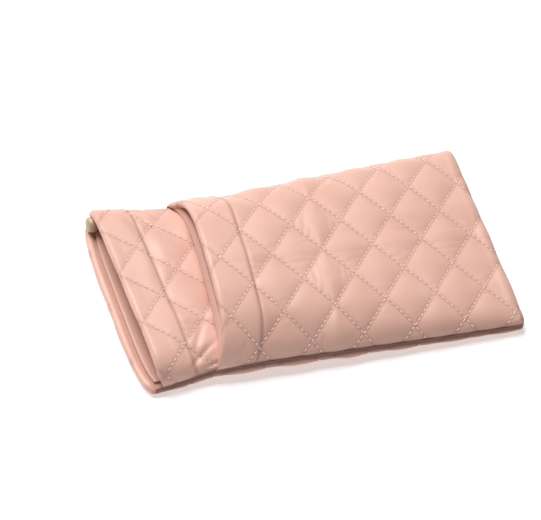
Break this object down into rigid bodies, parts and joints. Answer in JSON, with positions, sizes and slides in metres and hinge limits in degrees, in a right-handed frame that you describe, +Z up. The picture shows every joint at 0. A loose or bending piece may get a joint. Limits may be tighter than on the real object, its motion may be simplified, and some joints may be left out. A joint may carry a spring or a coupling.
{
  "type": "eyeglasses case",
  "caption": "Soft quilted glasses pouch with a front and a back pocket, each mouth held shut by a sprung flex frame that opens when its ends are squeezed.",
  "frame": {"origin": "on the surface the pouch lies on, under the middle of its overall box", "axes": "+X from the mouths to the closed end, +Y across the pouch, +Z up from the back panel to the front panel"},
  "size_m": [0.18, 0.1, 0.0319],
  "materials": {
    "quilted_skin": "soft satin faux leather, quilted in diamonds",
    "hem_skin": "soft satin faux leather",
    "lining": "smooth woven lining",
    "wadding": "soft fibre wadding",
    "spring_steel": "nickel-plated spring strip",
    "pin_metal": "warm-toned plated pin",
    "thread": "matt sewing thread"
  },
  "bodies": {
    "back_shell": {"back_panel": "quilted_skin", "back_panel_side_near": "quilted_skin", "back_panel_side_far": "quilted_skin", "back_wadding": "wadding", "back_pocket_rear_lining": "lining", "back_mouth_rear_hem": "hem_skin", "back_mouth_rear_stitching": "thread", "back_mouth_rear_spring": "spring_steel", "closed_end_seam": "quilted_skin", "closed_end_stitching": "thread"},
    "back_frame_pins": {"back_mouth_pin_near": "pin_metal", "back_mouth_pin_far": "pin_metal"},
    "middle_wall": {"middle_panel": "quilted_skin", "middle_wadding": "wadding", "back_pocket_front_lining": "lining", "back_mouth_front_hem": "hem_skin", "back_mouth_front_stitching": "thread", "back_mouth_front_spring": "spring_steel", "front_panel_side_near": "quilted_skin", "front_panel_side_far": "quilted_skin", "front_pocket_rear_lining": "lining", "front_mouth_rear_hem": "hem_skin", "front_mouth_rear_stitching": "thread", "front_mouth_rear_spring": "spring_steel"},
    "front_frame_pins": {"front_mouth_pin_near": "pin_metal", "front_mouth_pin_far": "pin_metal"},
    "front_wall": {"front_panel": "quilted_skin", "front_wadding": "wadding", "front_pocket_front_lining": "lining", "front_mouth_front_hem": "hem_skin", "front_mouth_front_stitching": "thread", "front_mouth_front_spring": "spring_steel"}
  },
  "joints": [
    {"name": "back_pocket_mouth", "type": "hinge", "parent": "back_shell", "child": "middle_wall", "pos_m": [0.0825, 0, 0.005], "axis": [0, 1, 0], "range_deg": [-2, 7], "stiffness_Nm_per_rad": 5, "deforming": ["back_mouth_rear_spring", "back_mouth_front_spring"]},
    {"name": "back_frame_pins_follow", "type": "hinge", "parent": "back_shell", "child": "back_frame_pins", "pos_m": [0.0825, 0, 0.005], "axis": [0, 1, 0], "range_deg": [-1, 3.5]},
    {"name": "front_pocket_mouth", "type": "hinge", "parent": "middle_wall", "child": "front_wall", "pos_m": [0.08274, 0, 0.00889], "axis": [0, 1, 0], "range_deg": [-2.3, 8], "stiffness_Nm_per_rad": 4, "deforming": ["front_mouth_rear_spring", "front_mouth_front_spring"]},
    {"name": "front_frame_pins_follow", "type": "hinge", "parent": "middle_wall", "child": "front_frame_pins", "pos_m": [0.08274, 0, 0.00889], "axis": [0, 1, 0], "range_deg": [-1.15, 4]}
  ],
  "couplings": [
    {"joint": "back_frame_pins_follow", "follows": "back_pocket_mouth", "ratio": 0.5},
    {"joint": "front_frame_pins_follow", "follows": "front_pocket_mouth", "ratio": 0.5}
  ]
}
